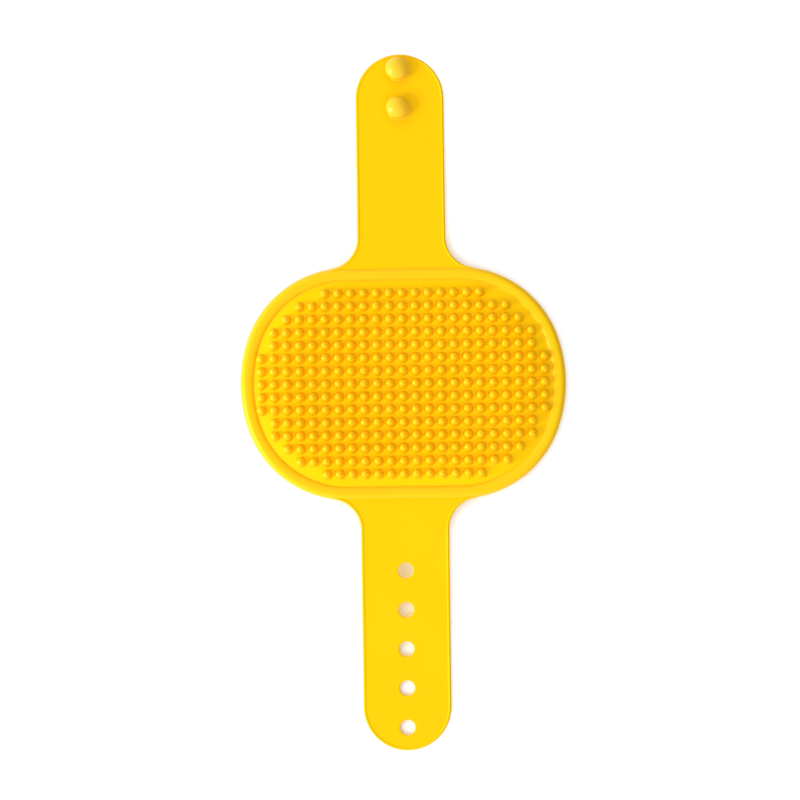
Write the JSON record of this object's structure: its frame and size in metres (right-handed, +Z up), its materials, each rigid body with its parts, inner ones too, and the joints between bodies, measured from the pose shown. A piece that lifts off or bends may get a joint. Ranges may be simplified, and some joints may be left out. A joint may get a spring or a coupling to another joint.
{
  "type": "rubber curry brush",
  "caption": "Oval rubber curry brush with rows of round-tipped bristles, a rounded rim, a palm recess and two flexible hand straps that fasten with studs and holes.",
  "frame": {"origin": "centre of the whole brush's footprint, on the surface it lies on; the pad's centre is 7.4 mm towards +Y, because the hole strap is the longer one", "axes": "+Z up, out of the bristle side; +Y towards the stud strap's tip; +X across the straps, along the pad's long axis"},
  "size_m": [0.127, 0.2724, 0.0116],
  "materials": {
    "plate_rubber": "satin",
    "rim_rubber": "satin",
    "bristle_rubber": "satin",
    "strap_rubber": "satin",
    "stud_rubber": "satin"
  },
  "bodies": {
    "pad": {"pad_plate": "plate_rubber", "rim": "rim_rubber", "stud_strap_root": "strap_rubber", "hole_strap_root": "strap_rubber", "bristle_row_01": "bristle_rubber", "bristle_row_02": "bristle_rubber", "bristle_row_03": "bristle_rubber", "bristle_row_04": "bristle_rubber", "bristle_row_05": "bristle_rubber", "bristle_row_06": "bristle_rubber", "bristle_row_07": "bristle_rubber", "bristle_row_08": "bristle_rubber", "bristle_row_09": "bristle_rubber", "bristle_row_10": "bristle_rubber", "bristle_row_11": "bristle_rubber", "bristle_row_12": "bristle_rubber", "bristle_row_13": "bristle_rubber", "bristle_row_14": "bristle_rubber", "bristle_row_15": "bristle_rubber"},
    "stud_link_1": {"stud_strap_1": "strap_rubber"},
    "stud_link_2": {"stud_strap_2": "strap_rubber"},
    "stud_link_3": {"stud_strap_3": "strap_rubber"},
    "stud_link_4": {"stud_strap_4": "strap_rubber"},
    "stud_link_5": {"stud_strap_5": "strap_rubber"},
    "stud_link_6": {"stud_strap_6": "strap_rubber", "inner_stud": "stud_rubber"},
    "stud_link_7": {"stud_strap_7": "strap_rubber", "outer_stud": "stud_rubber"},
    "hole_link_1": {"hole_strap_1": "strap_rubber"},
    "hole_link_2": {"hole_strap_2": "strap_rubber"},
    "hole_link_3": {"hole_strap_3": "strap_rubber"},
    "hole_link_4": {"hole_strap_4": "strap_rubber"},
    "hole_link_5": {"hole_strap_5": "strap_rubber"},
    "hole_link_6": {"hole_strap_6": "strap_rubber"},
    "hole_link_7": {"hole_strap_7": "strap_rubber"},
    "hole_link_8": {"hole_strap_8": "strap_rubber"}
  },
  "joints": [
    {"name": "stud_flex_1", "type": "hinge", "parent": "pad", "child": "stud_link_1", "pos_m": [0, 0.05471, 0.0051], "axis": [-1, 0, 0], "range_deg": [-15, 31.22], "stiffness_Nm_per_rad": 0.024},
    {"name": "stud_flex_2", "type": "hinge", "parent": "stud_link_1", "child": "stud_link_2", "pos_m": [0, 0.0602, 0.00468], "axis": [-1, 0, 0], "range_deg": [-15, 45], "stiffness_Nm_per_rad": 0.014},
    {"name": "stud_flex_3", "type": "hinge", "parent": "stud_link_2", "child": "stud_link_3", "pos_m": [0, 0.06768, 0.00411], "axis": [-1, 0, 0], "range_deg": [-15, 42.77], "stiffness_Nm_per_rad": 0.011},
    {"name": "stud_flex_4", "type": "hinge", "parent": "stud_link_3", "child": "stud_link_4", "pos_m": [0, 0.07665, 0.00343], "axis": [-1, 0, 0], "range_deg": [-15, 25.05], "stiffness_Nm_per_rad": 0.0076},
    {"name": "stud_flex_5", "type": "hinge", "parent": "stud_link_4", "child": "stud_link_5", "pos_m": [0, 0.09168, 0.00228], "axis": [-1, 0, 0], "range_deg": [-15, 12], "stiffness_Nm_per_rad": 0.006},
    {"name": "stud_flex_6", "type": "hinge", "parent": "stud_link_5", "child": "stud_link_6", "pos_m": [0, 0.10709, 0.0011], "axis": [-1, 0, 0], "range_deg": [-15, 16.37], "stiffness_Nm_per_rad": 0.0059},
    {"name": "stud_flex_7", "type": "hinge", "parent": "stud_link_6", "child": "stud_link_7", "pos_m": [0, 0.12254, 0.0011], "axis": [-1, 0, 0], "range_deg": [-15, 10], "stiffness_Nm_per_rad": 0.0063},
    {"name": "hole_flex_1", "type": "hinge", "parent": "pad", "child": "hole_link_1", "pos_m": [0, -0.03989, 0.0051], "axis": [1, 0, 0], "range_deg": [-15, 30.03], "stiffness_Nm_per_rad": 0.024},
    {"name": "hole_flex_2", "type": "hinge", "parent": "hole_link_1", "child": "hole_link_2", "pos_m": [0, -0.04537, 0.00476], "axis": [1, 0, 0], "range_deg": [-15, 44.21], "stiffness_Nm_per_rad": 0.016},
    {"name": "hole_flex_3", "type": "hinge", "parent": "hole_link_2", "child": "hole_link_3", "pos_m": [0, -0.05136, 0.00438], "axis": [1, 0, 0], "range_deg": [-15, 32.81], "stiffness_Nm_per_rad": 0.015},
    {"name": "hole_flex_4", "type": "hinge", "parent": "hole_link_3", "child": "hole_link_4", "pos_m": [0, -0.05778, 0.00398], "axis": [1, 0, 0], "range_deg": [-15, 30.98], "stiffness_Nm_per_rad": 0.0084},
    {"name": "hole_flex_5", "type": "hinge", "parent": "hole_link_4", "child": "hole_link_5", "pos_m": [0, -0.0732, 0.00302], "axis": [1, 0, 0], "range_deg": [-15, 12], "stiffness_Nm_per_rad": 0.0059},
    {"name": "hole_flex_6", "type": "hinge", "parent": "hole_link_5", "child": "hole_link_6", "pos_m": [0, -0.08862, 0.00206], "axis": [1, 0, 0], "range_deg": [-15, 12], "stiffness_Nm_per_rad": 0.0059},
    {"name": "hole_flex_7", "type": "hinge", "parent": "hole_link_6", "child": "hole_link_7", "pos_m": [0, -0.10404, 0.0011], "axis": [1, 0, 0], "range_deg": [-15, 15.57], "stiffness_Nm_per_rad": 0.0059},
    {"name": "hole_flex_8", "type": "hinge", "parent": "hole_link_7", "child": "hole_link_8", "pos_m": [0, -0.11949, 0.0011], "axis": [1, 0, 0], "range_deg": [-15, 10], "stiffness_Nm_per_rad": 0.0057}
  ]
}
